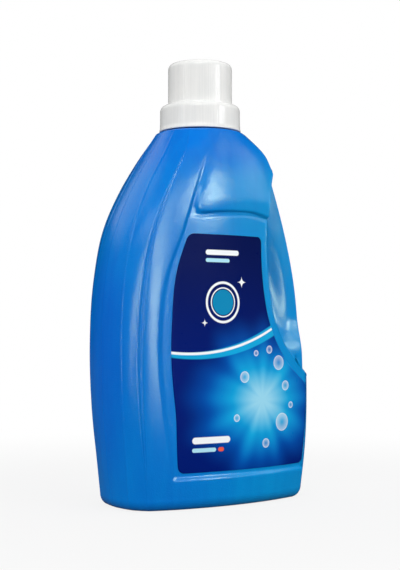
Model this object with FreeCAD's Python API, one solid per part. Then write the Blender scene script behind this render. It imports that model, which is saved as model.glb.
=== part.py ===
"""Dishwasher gel bottle: a blow-moulded bottle with a pinch grip, a pouring insert and a screw cap.

Millimetres, +Z up. The label faces -Y and the grip is on +X. The origin is the middle of the base.
The pieces are built around the neck axis as the Z axis, and main() moves them so that the widths to
both sides are equal.
"""

import FreeCAD
import Part
import math
import os

from FreeCAD import Vector

# ---------------------------------------------------------------- driving dimensions

# bottle body
SHOULDER_Z = 223.0        # height of the body, up to the collar under the cap
LEFT_REACH = 68.0         # neck axis to the left side, at the belly
RIGHT_REACH = 70.5        # neck axis to the right side, at the belly
FRONT_DEPTH = 35.5        # neck axis to the front face, at the belly
COLLAR_R = 26.3           # round top of the shoulder
WALL = 0.9                # wall of the blown body
FOOT_H = 7.0              # height over which the base edge rounds in
FOOT_ROUND = 5.5          # how far it rounds in
PUSH_UP = 3.2             # height of the dish in the base
PUSH_UP_SLOPE = 4.0       # width of its sloping rim
STANDING_BAND = 7.0       # width of the ring that the bottle stands on

# the two grooves with three ridges that run along the front left corner
RIB_FOOT_Z = 13.0
RIB_TOP_Z = 219.0
RIB_SPREAD = 4.4          # corner to the outer ridges
RIB_DEPTH = 1.0           # depth of each groove

# recessed front panel and the shoulder pad above it
RECESS = 1.3              # depth of the panel under the outer skin
PANEL_FOOT_Z = 18.5
PANEL_INSET = 1.6         # corner line to the panel's left edge
PAD_FOOT_Z = 171.0        # lower edge of the shoulder pad
PAD_WAVE = 2.0            # how far that edge waves up and down
PAD_LEFT_GAP = 2.8        # groove between the pad and the corner line
PAD_GROOVE_TOP_Z = 197.0  # where that groove runs out

# pinch grip
WEB_HALF = 8.6            # half thickness of the web
# the grip's wall from the web up: height above the web's side, then distance from the crease
GRIP_WALL = [(0.0, 6.2), (3.0, 4.0), (12.0, 2.0), (24.0, 0.0)]
GRIP_TOP_Z = 208.5
CREASE_X = 30.5           # the crease at the grip's edge, where it is nearest to the neck axis
CREASE_Z = 149.0
CREASE_R = 150.0          # its long middle arc
CREASE_UP_DEG = 13.9      # the middle arc ends this far above and below that place
CREASE_DOWN_DEG = 10.8
CREASE_TOP_R = 61.0       # the tangent arcs at its two ends
CREASE_FOOT_R = 63.2
HOLLOW_X = 46.5           # finger hollow in each side of the web: its middle
HOLLOW_Z = 133.0
HOLLOW_REACH = 11.0       # its half width
HOLLOW_RISE = 38.0        # its half height
HOLLOW_DEPTH = 4.4        # how deep it goes below the side of the web
HOLLOW_LEAN = 12.0        # degrees that its foot leans out
HOLLOW_FLOOR = 26.0       # length of its deepest part, between its two sloping ends

# label
LABEL_FILM = 0.2
LABEL_FOOT_Z = 21.5
LABEL_TOP_Z = 159.5
LABEL_MARGIN = 5.0        # corner line to the label's left edge
LABEL_GRIP_MARGIN = 6.5   # grip crease to the label's right edge
LABEL_CORNER = 3.5
LABEL_EDGE_GAP = 0.6      # right edge of the front face to the label
LABEL_TURN = 0.28         # share of the height where its right edge turns in along the grip
LABEL_TURN_ROUND = 6.0

# neck
NECK_R = 20.0
NECK_WALL = 1.8
NECK_H = 13.0
THREAD_LEAD = 5.0
THREAD_TURNS = 1.25
THREAD_RISE = 1.4         # height of both thread ridges
THREAD_BASE = 2.1         # width of a ridge at its root
THREAD_CREST = 1.0
THREAD_START = 2.6        # collar to the middle of the neck ridge's lower end
THREAD_GAP = 0.45         # clearance at the crests
THREAD_ROOT = 0.4         # how far a ridge runs into its wall
CAP_RIDGE_START = 0.4     # the cap's lower edge to its thread ridge

# cap
CAP_GAP = 0.8             # shoulder to the cap's lower edge
CAP_SKIRT_WALL = 2.4
CAP_SKIRT_FLARE = 0.5     # how much wider the skirt is at its foot
CAP_WALL = 1.5            # wall of the tower and of both tops
CAP_TOWER_R = 19.4
CAP_TOWER_H = 25.5
CAP_EDGE = 3.4            # rounded edges of both tiers
CAP_EDGE_RUNS = 3         # straight runs of their turned profile

# seal
SEAL_T = 1.0
SEAL_GAP = 0.1            # clearance above and below it
SEAL_SIDE_GAP = 0.35

# pouring insert
INSERT_WALL = 1.2
INSERT_FIT = 0.05         # clearance between its plug and the neck
INSERT_DEPTH = 12.0       # how far its well hangs into the neck
FLANGE_T = 1.0
SPOUT_R = 11.0
SPOUT_H = 15.0            # height of its lip above the neck rim
SPOUT_LEAN = 24.0         # degrees of the slanted lip
DRAIN_SLOT = 4.5          # width of the slot that drains the well

# ---------------------------------------------------------------- character lines of the body

# Each line is a list of (share of the shoulder height, distance from the neck axis in mm).
# Their last point lies on the round collar.


def on_collar(degrees):
    return COLLAR_R * math.cos(math.radians(degrees)), COLLAR_R * math.sin(math.radians(degrees))


A_TOP, B_TOP, C_TOP, G_TOP = on_collar(23), on_collar(44), on_collar(70), on_collar(45)

LEFT = [(0, 0.9 * LEFT_REACH), (0.11, 0.945 * LEFT_REACH), (0.26, 0.987 * LEFT_REACH),
        (0.43, LEFT_REACH), (0.6, 0.962 * LEFT_REACH), (0.73, 0.865 * LEFT_REACH),
        (0.855, 0.672 * LEFT_REACH), (0.94, 0.505 * LEFT_REACH), (1, COLLAR_R)]
RIGHT = [(0, 0.93 * RIGHT_REACH), (0.11, 0.977 * RIGHT_REACH), (0.26, RIGHT_REACH),
         (0.43, 0.987 * RIGHT_REACH), (0.6, 0.916 * RIGHT_REACH), (0.73, 0.818 * RIGHT_REACH),
         (0.855, 0.7 * RIGHT_REACH), (0.91, 0.65 * RIGHT_REACH), (0.945, 0.592 * RIGHT_REACH),
         (0.975, 0.49 * RIGHT_REACH), (1, COLLAR_R)]
FRONT = [(0, 0.93 * FRONT_DEPTH), (0.11, 0.985 * FRONT_DEPTH), (0.3, FRONT_DEPTH),
         (0.64, 0.99 * FRONT_DEPTH), (0.79, 0.965 * FRONT_DEPTH), (0.875, 0.91 * FRONT_DEPTH),
         (0.94, 0.825 * FRONT_DEPTH), (1, COLLAR_R)]
# edge A, between the rounded side and the side facet: x, then y
A_X = [(0, 0.868 * LEFT_REACH), (0.11, 0.904 * LEFT_REACH), (0.26, 0.95 * LEFT_REACH),
       (0.43, 0.966 * LEFT_REACH), (0.6, 0.926 * LEFT_REACH), (0.73, 0.831 * LEFT_REACH),
       (0.855, 0.645 * LEFT_REACH), (0.94, 0.479 * LEFT_REACH), (1, A_TOP[0])]
A_Y = [(0, 0.47 * FRONT_DEPTH), (0.26, 0.507 * FRONT_DEPTH), (0.6, 0.487 * FRONT_DEPTH),
       (0.73, 0.46 * FRONT_DEPTH), (0.855, 0.39 * FRONT_DEPTH), (0.94, 0.366 * FRONT_DEPTH), (1, A_TOP[1])]
# edge B, the front left corner, which carries the ribs
B_X = [(0, 0.765 * LEFT_REACH), (0.11, 0.81 * LEFT_REACH), (0.26, 0.862 * LEFT_REACH),
       (0.43, 0.88 * LEFT_REACH), (0.6, 0.841 * LEFT_REACH), (0.73, 0.75 * LEFT_REACH),
       (0.855, 0.56 * LEFT_REACH), (0.94, 0.393 * LEFT_REACH), (1, B_TOP[0])]
B_Y = [(0, 0.724 * FRONT_DEPTH), (0.11, 0.79 * FRONT_DEPTH), (0.43, 0.84 * FRONT_DEPTH),
       (0.64, 0.873 * FRONT_DEPTH), (0.79, 0.884 * FRONT_DEPTH), (0.875, 0.84 * FRONT_DEPTH),
       (0.94, 0.752 * FRONT_DEPTH), (1, B_TOP[1])]
# edge C, where the frame beside the ribs meets the front panel
C_X = [(0, 0.537 * LEFT_REACH), (0.11, 0.603 * LEFT_REACH), (0.26, 0.687 * LEFT_REACH),
       (0.43, 0.73 * LEFT_REACH), (0.6, 0.666 * LEFT_REACH), (0.73, 0.485 * LEFT_REACH),
       (0.855, 0.28 * LEFT_REACH), (0.94, 0.176 * LEFT_REACH), (1, C_TOP[0])]
C_Y = [(0, 0.85 * FRONT_DEPTH), (0.11, 0.905 * FRONT_DEPTH), (0.43, 0.927 * FRONT_DEPTH),
       (0.64, 0.945 * FRONT_DEPTH), (0.79, 0.946 * FRONT_DEPTH), (0.875, 0.9 * FRONT_DEPTH),
       (0.94, 0.813 * FRONT_DEPTH), (1, C_TOP[1])]
# edge G, where the front face turns into the right side
G_X = [(0, 0.787 * RIGHT_REACH), (0.11, 0.837 * RIGHT_REACH), (0.26, 0.872 * RIGHT_REACH),
       (0.43, 0.851 * RIGHT_REACH), (0.6, 0.784 * RIGHT_REACH), (0.73, 0.695 * RIGHT_REACH),
       (0.855, 0.589 * RIGHT_REACH), (0.91, 0.535 * RIGHT_REACH), (0.945, 0.475 * RIGHT_REACH),
       (1, G_TOP[0])]
G_Y = [(0, 0.57 * FRONT_DEPTH), (0.11, 0.62 * FRONT_DEPTH), (0.3, 0.65 * FRONT_DEPTH),
       (0.73, 0.62 * FRONT_DEPTH), (0.91, 0.6 * FRONT_DEPTH), (1, G_TOP[1])]
# shares of the height where the sections lie, closer together where the shoulder turns in
STATIONS = [k * 0.08 for k in range(1, 10)] + [0.77, 0.815, 0.855, 0.89, 0.92, 0.945, 0.965, 0.985, 1.0]
FLAT_FRONT_X = -10.0      # where the front arc stands furthest forward
BULGE_SIDE = 0.5          # how far the facets swell between their edges
BULGE_FRAME = 0.25


def along(line, share):
    """Value of a character line at a share of the height: a smooth curve through its points."""
    if share <= line[0][0]:
        return line[0][1]
    if share >= line[-1][0]:
        return line[-1][1]
    k = max(i for i in range(len(line) - 1) if line[i][0] <= share)

    def slope(i):
        if i == 0:
            return (line[1][1] - line[0][1]) / (line[1][0] - line[0][0])
        if i == len(line) - 1:
            return (line[-1][1] - line[-2][1]) / (line[-1][0] - line[-2][0])
        before = line[i][0] - line[i - 1][0]
        after = line[i + 1][0] - line[i][0]
        rise_before = (line[i][1] - line[i - 1][1]) / before
        rise_after = (line[i + 1][1] - line[i][1]) / after
        return (rise_before * after + rise_after * before) / (before + after)

    span = line[k + 1][0] - line[k][0]
    t = (share - line[k][0]) / span
    start, end = line[k][1], line[k + 1][1]
    leave, arrive = slope(k) * span, slope(k + 1) * span
    return ((2 * t**3 - 3 * t**2 + 1) * start + (t**3 - 2 * t**2 + t) * leave
            + (3 * t**2 - 2 * t**3) * end + (t**3 - t**2) * arrive)


def inset_polyline(points, inset):
    """The outline's points moved inwards; its two ends lie on the X axis and stay on it."""
    moved = []
    for i, (x, y) in enumerate(points):
        before = points[i - 1] if i > 0 else (points[1][0], -points[1][1])
        after = points[i + 1] if i < len(points) - 1 else (points[-2][0], -points[-2][1])
        into = (x - before[0], y - before[1])
        out = (after[0] - x, after[1] - y)
        n1 = (into[1] / math.hypot(*into), -into[0] / math.hypot(*into))
        n2 = (out[1] / math.hypot(*out), -out[0] / math.hypot(*out))
        n = (n1[0] + n2[0], n1[1] + n2[1])
        reach = inset / (1 + n1[0] * n2[0] + n1[1] * n2[1])
        moved.append((x + n[0] * reach, y + n[1] * reach))
    return moved


def swell(p, q, amount):
    """Middle of the line from p to q, pushed outwards (to its left when walked)."""
    dx, dy = q[0] - p[0], q[1] - p[1]
    length = math.hypot(dx, dy)
    return (p[0] + q[0]) / 2 - dy / length * amount, (p[1] + q[1]) / 2 + dx / length * amount


def half_outline(share, inset=0.0):
    """Points of the outline's half with y > 0, from the left end of the X axis to the right end.

    Even places are the edges' ends and odd places lie in the middle of an arc.
    """
    left, right, front = along(LEFT, share), along(RIGHT, share), along(FRONT, share)
    a = (-along(A_X, share), along(A_Y, share))
    b = (-along(B_X, share), along(B_Y, share))
    c = (-along(C_X, share), along(C_Y, share))
    g = (along(G_X, share), along(G_Y, share))
    top = max(0.0, (share - 0.9) / 0.1)
    f = (FLAT_FRONT_X * (1 - top), front)
    turn = (g[0] + (right - g[0]) * 0.78, g[1] * 0.56)
    if share >= 1.0:
        turn = on_collar(22)
    side = (-left + (left + a[0]) / 4, a[1] / 2)
    points = [(-left, 0), side, a, swell(a, b, BULGE_SIDE), b, swell(b, c, BULGE_FRAME), c, f, g, turn,
              (right, 0)]
    return inset_polyline(points, inset)


def rib_points(a, b, c, share):
    """Three ridges and two grooves around the corner b, which close to a point at both ends."""
    run = (share * SHOULDER_Z - RIB_FOOT_Z) / (RIB_TOP_Z - RIB_FOOT_Z)
    size = max(0.08, math.sin(math.pi * min(max(run, 0.0), 1.0)) ** 0.7)
    to_a = (a[0] - b[0], a[1] - b[1])
    to_c = (c[0] - b[0], c[1] - b[1])
    first = tuple(b[k] + to_a[k] / math.hypot(*to_a) * RIB_SPREAD * size for k in (0, 1))
    last = tuple(b[k] + to_c[k] / math.hypot(*to_c) * RIB_SPREAD * size for k in (0, 1))
    along_corner = (last[0] - first[0], last[1] - first[1])
    out = (-along_corner[1] / math.hypot(*along_corner), along_corner[0] / math.hypot(*along_corner))
    swing = (b[0] * 0.55 + (first[0] + last[0]) * 0.225, b[1] * 0.55 + (first[1] + last[1]) * 0.225)
    groove1 = tuple((first[k] + swing[k]) / 2 - out[k] * RIB_DEPTH * size for k in (0, 1))
    groove2 = tuple((last[k] + swing[k]) / 2 - out[k] * RIB_DEPTH * size for k in (0, 1))
    return [first, groove1, swing, groove2, last]


def arc(p, m, q, z, side):
    return Part.Arc(*[Vector(x, side * y, z) for x, y in (p, m, q)]).toShape()


def line(p, q, z, side):
    return Part.makeLine(Vector(p[0], side * p[1], z), Vector(q[0], side * q[1], z))


def section(share, z, inset=0.0, ribs=False):
    """Closed outline of the body at one height: the front half, then its mirror image."""
    points = half_outline(share, inset)
    a, b, c = points[2], points[4], points[6]
    halves = []
    for side in (-1, 1):
        edges = [arc(points[0], points[1], a, z, side)]
        if ribs:
            r = rib_points(a, b, c, share)
            edges.append(arc(a, swell(a, r[0], BULGE_SIDE), r[0], z, side))
            edges += [line(r[k], r[k + 1], z, side) for k in range(4)]
            edges.append(arc(r[4], swell(r[4], c, BULGE_FRAME), c, z, side))
        else:
            edges += [arc(a, points[3], b, z, side), arc(b, points[5], c, z, side)]
        edges += [arc(c, points[7], points[8], z, side), arc(points[8], points[9], points[10], z, side)]
        halves.append(edges)
    return Part.Wire(halves[0] + halves[1][::-1])


def body_skin(inset=0.0, drop=0.0, ribs=False):
    """Solid inside the body's skin, moved in by inset, with its shoulder moved down by drop."""
    foot_share = FOOT_H / SHOULDER_Z
    foot_top = FOOT_H - drop * foot_share
    walls = [section(foot_share, foot_top, inset, ribs)]
    walls += [section(s, s * (SHOULDER_Z - drop), inset, ribs) for s in STATIONS]
    rounds = []
    for degrees in (0, 25, 50, 72, 90):
        t = math.radians(degrees)
        z = foot_top - (foot_top - inset) * math.cos(t)
        rounds.append(section(foot_share, z, inset + FOOT_ROUND * (1 - math.sin(t)), ribs))
    return Part.makeLoft(walls, True, True).fuse(Part.makeLoft(rounds, True, True))


def push_up(grow=0.0):
    """The shallow oval dish that leaves a standing ring around the base."""
    rim = FOOT_ROUND + STANDING_BAND
    left, right, front = along(LEFT, 0), along(RIGHT, 0), along(FRONT, 0)
    ovals = []
    for z in (-PUSH_UP, PUSH_UP + grow):
        inwards = rim + (z - grow) * PUSH_UP_SLOPE / PUSH_UP
        oval = Part.Ellipse(Vector((right - left) / 2, 0, z), (left + right) / 2 - inwards, front - inwards)
        ovals.append(Part.Wire([oval.toShape()]))
    return Part.makeLoft(ovals, True, True)


# ---------------------------------------------------------------- panel, grip and label outlines


def front_point(x, z):
    return Vector(x, 0, z)


def curve_edge(points):
    """A smooth edge in the XZ plane through the points."""
    curve = Part.BSplineCurve()
    curve.interpolate([front_point(x, z) for x, z in points])
    return curve.toShape()


def spread(low, high, count):
    return [low + (high - low) * k / (count - 1) for k in range(count)]


def front_prism(edges):
    """Solid in front of the middle plane, with the closed outline seen from the front."""
    return Part.Face(Part.Wire(edges)).extrude(Vector(0, -2 * FRONT_DEPTH, 0))


def round_corners(prism, corners):
    """The prism with its edges along Y rounded at the named corners: [(x, z, radius)]."""
    for x, z, radius in corners:
        edge = min(prism.Edges, key=lambda e: max(math.hypot(v.X - x, v.Z - z) for v in e.Vertexes))
        prism = prism.makeFillet(radius, [edge])
    return prism


def corner_x(z, shift):
    """x of the front left corner line C at a height, moved right by shift."""
    return shift - along(C_X, z / SHOULDER_Z)


def panel_tool(grow=0.0):
    """What the front panel's recess takes from the skin; grow widens it for the inside of the wall."""
    foot, pad = PANEL_FOOT_Z - grow, PAD_FOOT_Z + grow
    left = [(corner_x(z, PANEL_INSET - grow), z) for z in spread(foot, PAD_GROOVE_TOP_Z, 7)]
    tip = (left[-1][0] + 0.4 + 2 * grow, PAD_GROOVE_TOP_Z)
    pad_corner = (corner_x(pad, PANEL_INSET + PAD_LEFT_GAP + grow), pad)
    halfway = (pad + tip[1]) / 2
    pad_side = [tip, (corner_x(halfway, PANEL_INSET + 0.75 * PAD_LEFT_GAP + grow), halfway), pad_corner]
    reach = along(G_X, pad / SHOULDER_Z) + 0.5
    wave = [pad_corner] + [(pad_corner[0] + (reach - pad_corner[0]) * t, pad + PAD_WAVE * rise)
                           for t, rise in ((0.36, 1.2), (0.6, 1.25), (0.82, 0.1), (1.0, 0.3))]
    right = [(along(G_X, z / SHOULDER_Z) + 0.5 + grow, z) for z in spread(wave[-1][1], foot, 6)]
    right[0] = wave[-1]
    edges = [curve_edge(left), curve_edge([left[-1], tip]), curve_edge(pad_side), curve_edge(wave),
             curve_edge(right), curve_edge([right[-1], left[0]])]
    prism = round_corners(front_prism(edges), [(pad_corner[0], pad_corner[1], 5.5 - grow),
                                               (left[0][0], left[0][1], 4.0 + grow)])
    return prism.cut(body_skin(RECESS + grow, grow))


def crease_arcs(shift, top_z, foot_x):
    """The grip's crease seen from the front, moved sideways by shift (away from the grip).

    Three tangent arcs from the height top_z down to foot_x: [(start, middle, end), ...] as (x, z) points.
    """
    up, down = math.radians(CREASE_UP_DEG), -math.radians(CREASE_DOWN_DEG)

    def on(centre, radius, angle):
        return centre[0] - (radius + shift) * math.cos(angle), centre[1] + (radius + shift) * math.sin(angle)

    def centre_beyond(radius, angle):
        gap = CREASE_R - radius
        return middle[0] - gap * math.cos(angle), middle[1] + gap * math.sin(angle)

    middle = (CREASE_X + CREASE_R, CREASE_Z)
    top_centre = centre_beyond(CREASE_TOP_R, up)
    foot_centre = centre_beyond(CREASE_FOOT_R, down)
    foot_end = -math.acos((foot_centre[0] - foot_x) / (CREASE_FOOT_R + shift))
    foot_arc = tuple(on(foot_centre, CREASE_FOOT_R, t) for t in (down, (down + foot_end) / 2, foot_end))
    if on(middle, CREASE_R, up)[1] >= top_z:
        top_end = math.asin((top_z - middle[1]) / (CREASE_R + shift))
        return [tuple(on(middle, CREASE_R, t) for t in (top_end, (top_end + down) / 2, down)), foot_arc]
    top_end = math.asin((top_z - top_centre[1]) / (CREASE_TOP_R + shift))
    return [tuple(on(top_centre, CREASE_TOP_R, t) for t in (top_end, (top_end + up) / 2, up)),
            tuple(on(middle, CREASE_R, t) for t in (up, (up + down) / 2, down)), foot_arc]


def front_arc(points):
    return Part.Arc(*[front_point(x, z) for x, z in points]).toShape()


def front_line(p, q):
    return Part.makeLine(front_point(*p), front_point(*q))


def grip_outline(shift, height):
    """Closed outline of the grip in the plane at a height above the web's side, its crease moved by shift."""
    beyond = RIGHT_REACH * 1.4
    crease = crease_arcs(shift, GRIP_TOP_Z + shift, RIGHT_REACH + 4)
    top, foot = crease[0][0], crease[-1][2]
    edges = [front_arc(points) for points in crease]
    edges += [front_line(foot, (beyond, foot[1])), front_line((beyond, foot[1]), (beyond, top[1])),
              front_line((beyond, top[1]), top)]
    outline = Part.Wire(edges)
    outline.translate(Vector(0, -(WEB_HALF + height), 0))
    return outline


def grip_tool(grow=0.0):
    """What the grip takes from the front: a sloping wall that runs out on the web, and a finger hollow.

    For the inside of the wall, each corner of the wall's profile moves into the body by the mitre of grow.
    """
    slopes = [math.atan2(h2 - h1, d1 - d2) for (h1, d1), (h2, d2) in zip(GRIP_WALL, GRIP_WALL[1:])]
    slopes = [0.0] + slopes + [math.pi / 2]
    outlines = []
    for (height, distance), below, above in zip(GRIP_WALL, slopes, slopes[1:]):
        mitre = grow / (1 + math.cos(above - below))
        outlines.append(grip_outline(mitre * (math.sin(below) + math.sin(above)) - distance,
                                     height - mitre * (math.cos(below) + math.cos(above))))
    outlines.append(grip_outline(grow, 2 * FRONT_DEPTH))
    return Part.makeLoft(outlines, True, True).fuse(finger_hollow(grow))


def finger_hollow(grow):
    """A round bar that sinks its side into the web: a straight middle and two ends that rise out of the web."""
    bar_r = (HOLLOW_REACH**2 + HOLLOW_DEPTH**2) / (2 * HOLLOW_DEPTH)
    slope = math.atan(HOLLOW_DEPTH / (HOLLOW_RISE - HOLLOW_FLOOR / 2))
    joint = Vector(0, HOLLOW_DEPTH - bar_r, HOLLOW_FLOOR / 2)
    foot = joint - Vector(0, 0, HOLLOW_FLOOR + bar_r)
    middle = Part.makeCylinder(bar_r + grow, HOLLOW_FLOOR + 2 * bar_r, foot)
    end = Part.makeCylinder(bar_r + grow, 2 * HOLLOW_RISE, joint)
    end.translate(Vector(0, 0, -bar_r))
    end.rotate(joint, Vector(1, 0, 0), math.degrees(slope))
    beyond = Part.makeBox(8 * bar_r, 8 * bar_r, 4 * HOLLOW_RISE, joint - Vector(4 * bar_r, 4 * bar_r, 0))
    beyond.rotate(joint, Vector(1, 0, 0), math.degrees(slope) / 2)
    end = end.common(beyond)
    flip = Vector(0, 0, 0), Vector(0, 0, 1)
    bar = middle.cut([beyond, beyond.mirror(*flip)]).fuse([end, end.mirror(*flip)])
    bar.rotate(Vector(0, 0, 0), Vector(0, 1, 0), -HOLLOW_LEAN)
    bar.translate(Vector(HOLLOW_X, -WEB_HALF, HOLLOW_Z))
    return bar


def both_sides(tool):
    return [tool, tool.mirror(Vector(0, 0, 0), Vector(0, 1, 0))]


def label_prism():
    """The label's outline: it follows the corner line on its left and the grip's crease on its right."""
    left = [(corner_x(z, LABEL_MARGIN), z) for z in spread(LABEL_TOP_Z, LABEL_FOOT_Z, 6)]
    right_x = along(G_X, LABEL_TURN) - LABEL_EDGE_GAP
    crease = crease_arcs(LABEL_GRIP_MARGIN, LABEL_TOP_Z, right_x)
    top, turn = crease[0][0], crease[-1][2]
    foot = (along(G_X, LABEL_FOOT_Z / SHOULDER_Z) - LABEL_EDGE_GAP, LABEL_FOOT_Z)
    edges = [curve_edge(left), front_line(left[-1], foot), front_line(foot, turn)]
    edges += [front_arc(points[::-1]) for points in crease[::-1]] + [front_line(top, left[0])]
    corners = [point + (LABEL_CORNER,) for point in (left[0], left[-1], foot, top)]
    return round_corners(front_prism(edges), corners + [turn + (LABEL_TURN_ROUND,)])


# ---------------------------------------------------------------- pieces


def thread_ridge(radius, outward, start_z, start_angle):
    """A trapezoid ridge along a helix, on the outside or the inside of a wall of that radius."""
    way = 1 if outward else -1
    root = radius - way * THREAD_ROOT
    crest = radius + way * THREAD_RISE
    helix = Part.makeHelix(THREAD_LEAD, THREAD_LEAD * THREAD_TURNS, radius)
    profile = Part.makePolygon([Vector(root, 0, -THREAD_BASE / 2), Vector(crest, 0, -THREAD_CREST / 2),
                                Vector(crest, 0, THREAD_CREST / 2), Vector(root, 0, THREAD_BASE / 2),
                                Vector(root, 0, -THREAD_BASE / 2)])
    ridge = Part.Wire(helix.Edges).makePipeShell([profile], True, True)
    ridge.rotate(Vector(0, 0, 0), Vector(0, 0, 1), start_angle)
    ridge.translate(Vector(0, 0, start_z))
    return ridge


def ring(outer_r, inner_r, z, height):
    return Part.makeCylinder(outer_r, height, Vector(0, 0, z)).cut(
        Part.makeCylinder(inner_r, height, Vector(0, 0, z)))


NECK_X = (LEFT_REACH - RIGHT_REACH) / 2      # where the neck axis stands from the middle of the base
NECK_TOP = SHOULDER_Z + NECK_H
NECK_BORE_R = NECK_R - NECK_WALL


def make_bottle():
    outside = body_skin(ribs=True)
    outside = outside.cut(both_sides(panel_tool()) + both_sides(grip_tool()) + [push_up()])
    inside = body_skin(WALL, WALL)
    inside = inside.cut(both_sides(panel_tool(WALL)) + both_sides(grip_tool(WALL)) + [push_up(WALL)])
    neck = Part.makeCylinder(NECK_R, NECK_H + WALL / 2, Vector(0, 0, SHOULDER_Z - WALL / 2))
    bore = Part.makeCylinder(NECK_BORE_R, NECK_H + 3 * WALL, Vector(0, 0, SHOULDER_Z - 2 * WALL))
    ridge = thread_ridge(NECK_R, True, SHOULDER_Z + THREAD_START, 0)
    return outside.fuse([neck, ridge]).cut([inside, bore])


def make_label():
    return body_skin(RECESS - LABEL_FILM).cut(body_skin(RECESS)).common(label_prism())


def turned(profile):
    """Solid of revolution about the Z axis from a closed profile of (radius, z) points."""
    wire = Part.makePolygon([Vector(r, 0, z) for r, z in profile + profile[:1]])
    return Part.Face(wire).revolve(Vector(0, 0, 0), Vector(0, 0, 1), 360)


def make_insert():
    """Well with a drain slot in the neck, a flange on its rim and a slanted pouring spout."""
    plug_r = NECK_BORE_R - INSERT_FIT
    well_z = NECK_TOP - INSERT_DEPTH
    spout_top = NECK_TOP + SPOUT_H
    cup = turned([(SPOUT_R, well_z), (plug_r, well_z), (plug_r, NECK_TOP), (NECK_R - INSERT_FIT, NECK_TOP),
                  (NECK_R - INSERT_FIT, NECK_TOP + FLANGE_T), (plug_r - INSERT_WALL, NECK_TOP + FLANGE_T),
                  (plug_r - INSERT_WALL, well_z + INSERT_WALL), (SPOUT_R, well_z + INSERT_WALL)])
    spout = ring(SPOUT_R, SPOUT_R - INSERT_WALL, well_z, spout_top - well_z)
    lip = Part.makeBox(4 * SPOUT_R, 4 * SPOUT_R, 2 * SPOUT_H, Vector(0, -2 * SPOUT_R, 0))
    lip.rotate(Vector(0, 0, 0), Vector(0, 1, 0), SPOUT_LEAN)
    lip.translate(Vector(-SPOUT_R, 0, spout_top))
    slot = Part.makeBox(2 * SPOUT_R, DRAIN_SLOT, NECK_TOP - well_z + SPOUT_H,
                        Vector(SPOUT_R / 2, -DRAIN_SLOT / 2, well_z + INSERT_WALL))
    return cup.fuse(spout.cut([lip, slot.common(Part.makeCylinder(SPOUT_R + INSERT_WALL, 2 * spout_top))]))


CAP_SEAT = NECK_TOP + FLANGE_T + SEAL_T + 2 * SEAL_GAP
CAP_BORE_R = NECK_R + THREAD_RISE + THREAD_GAP


def make_seal():
    bore_r = CAP_TOWER_R - CAP_WALL + SEAL_SIDE_GAP
    return ring(CAP_BORE_R - SEAL_SIDE_GAP, bore_r, CAP_SEAT - SEAL_GAP - SEAL_T, SEAL_T)


def rounded_edge(radius, z):
    """Profile points of a tier's rounded top edge, from its side to its flat top."""
    return [(radius - CAP_EDGE * (1 - math.cos(t)), z - CAP_EDGE * (1 - math.sin(t)))
            for t in spread(0, math.pi / 2, CAP_EDGE_RUNS + 1)]


def make_cap():
    foot = SHOULDER_Z + CAP_GAP
    tier = CAP_SEAT + CAP_WALL
    top = tier + CAP_TOWER_H
    skirt_r = CAP_BORE_R + CAP_SKIRT_WALL
    outside = [(skirt_r + CAP_SKIRT_FLARE, foot)] + rounded_edge(skirt_r, tier)
    outside += [(CAP_TOWER_R, tier)] + rounded_edge(CAP_TOWER_R, top)
    inside = [(0, top), (0, top - CAP_WALL), (CAP_TOWER_R - CAP_WALL, top - CAP_WALL),
              (CAP_TOWER_R - CAP_WALL, CAP_SEAT), (CAP_BORE_R, CAP_SEAT), (CAP_BORE_R, foot)]
    climb = THREAD_BASE / 2 + CAP_RIDGE_START - (THREAD_START - THREAD_LEAD / 2 - CAP_GAP)
    start_z = foot + THREAD_BASE / 2 + CAP_RIDGE_START
    ridge = thread_ridge(CAP_BORE_R, False, start_z, 360 * climb / THREAD_LEAD)
    return turned(outside + inside).fuse(ridge)


def main():
    os.makedirs("parts", exist_ok=True)
    pieces = {"bottle": make_bottle(), "front_label": make_label(), "pour_insert": make_insert(),
              "cap_seal": make_seal(), "cap": make_cap()}
    for name, shape in pieces.items():
        print(name, shape.isValid(), round(shape.Volume / 1000, 2), len(shape.Solids), len(shape.Faces))
        shape.translate(Vector(NECK_X, 0, 0))
        shape.exportStep(f"parts/{name}.step")


main()
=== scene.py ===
# %% [markdown]
# # A dishwasher gel bottle
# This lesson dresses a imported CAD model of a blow-moulded gel bottle: a blue body with a pinch grip, a
# printed film label and a two-tier screw cap. The CAD model is the frame. It gives the places and the
# moving bodies, and nothing here changes a size. Each step below makes one piece or one finish.

# %% Load the frame
import math

import bpy
import numpy as np
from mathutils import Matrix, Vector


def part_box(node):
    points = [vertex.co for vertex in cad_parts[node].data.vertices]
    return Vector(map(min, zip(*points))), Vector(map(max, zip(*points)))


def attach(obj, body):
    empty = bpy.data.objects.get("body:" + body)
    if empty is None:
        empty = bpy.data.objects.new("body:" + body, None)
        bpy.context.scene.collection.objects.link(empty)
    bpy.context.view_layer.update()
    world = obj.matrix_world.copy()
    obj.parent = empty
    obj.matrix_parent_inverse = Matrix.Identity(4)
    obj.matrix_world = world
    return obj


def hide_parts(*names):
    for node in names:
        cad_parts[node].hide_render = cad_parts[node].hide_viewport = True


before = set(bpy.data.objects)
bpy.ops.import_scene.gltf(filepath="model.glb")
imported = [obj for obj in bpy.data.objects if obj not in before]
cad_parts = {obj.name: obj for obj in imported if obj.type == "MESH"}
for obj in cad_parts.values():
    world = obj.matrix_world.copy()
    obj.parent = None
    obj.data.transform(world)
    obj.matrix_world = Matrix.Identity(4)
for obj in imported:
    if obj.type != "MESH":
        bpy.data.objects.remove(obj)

scene = bpy.context.scene
MM = 0.001  # the shape functions work in millimetres from the neck axis
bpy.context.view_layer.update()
bottle_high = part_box("bottle")[1]
cap_low, cap_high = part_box("cap")
NECK_X = (cap_low.x + cap_high.x) / 2 / MM
NECK_TOP = bottle_high.z / MM
CAP_TOP = cap_high.z / MM
print("nodes:", sorted(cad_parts))
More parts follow.
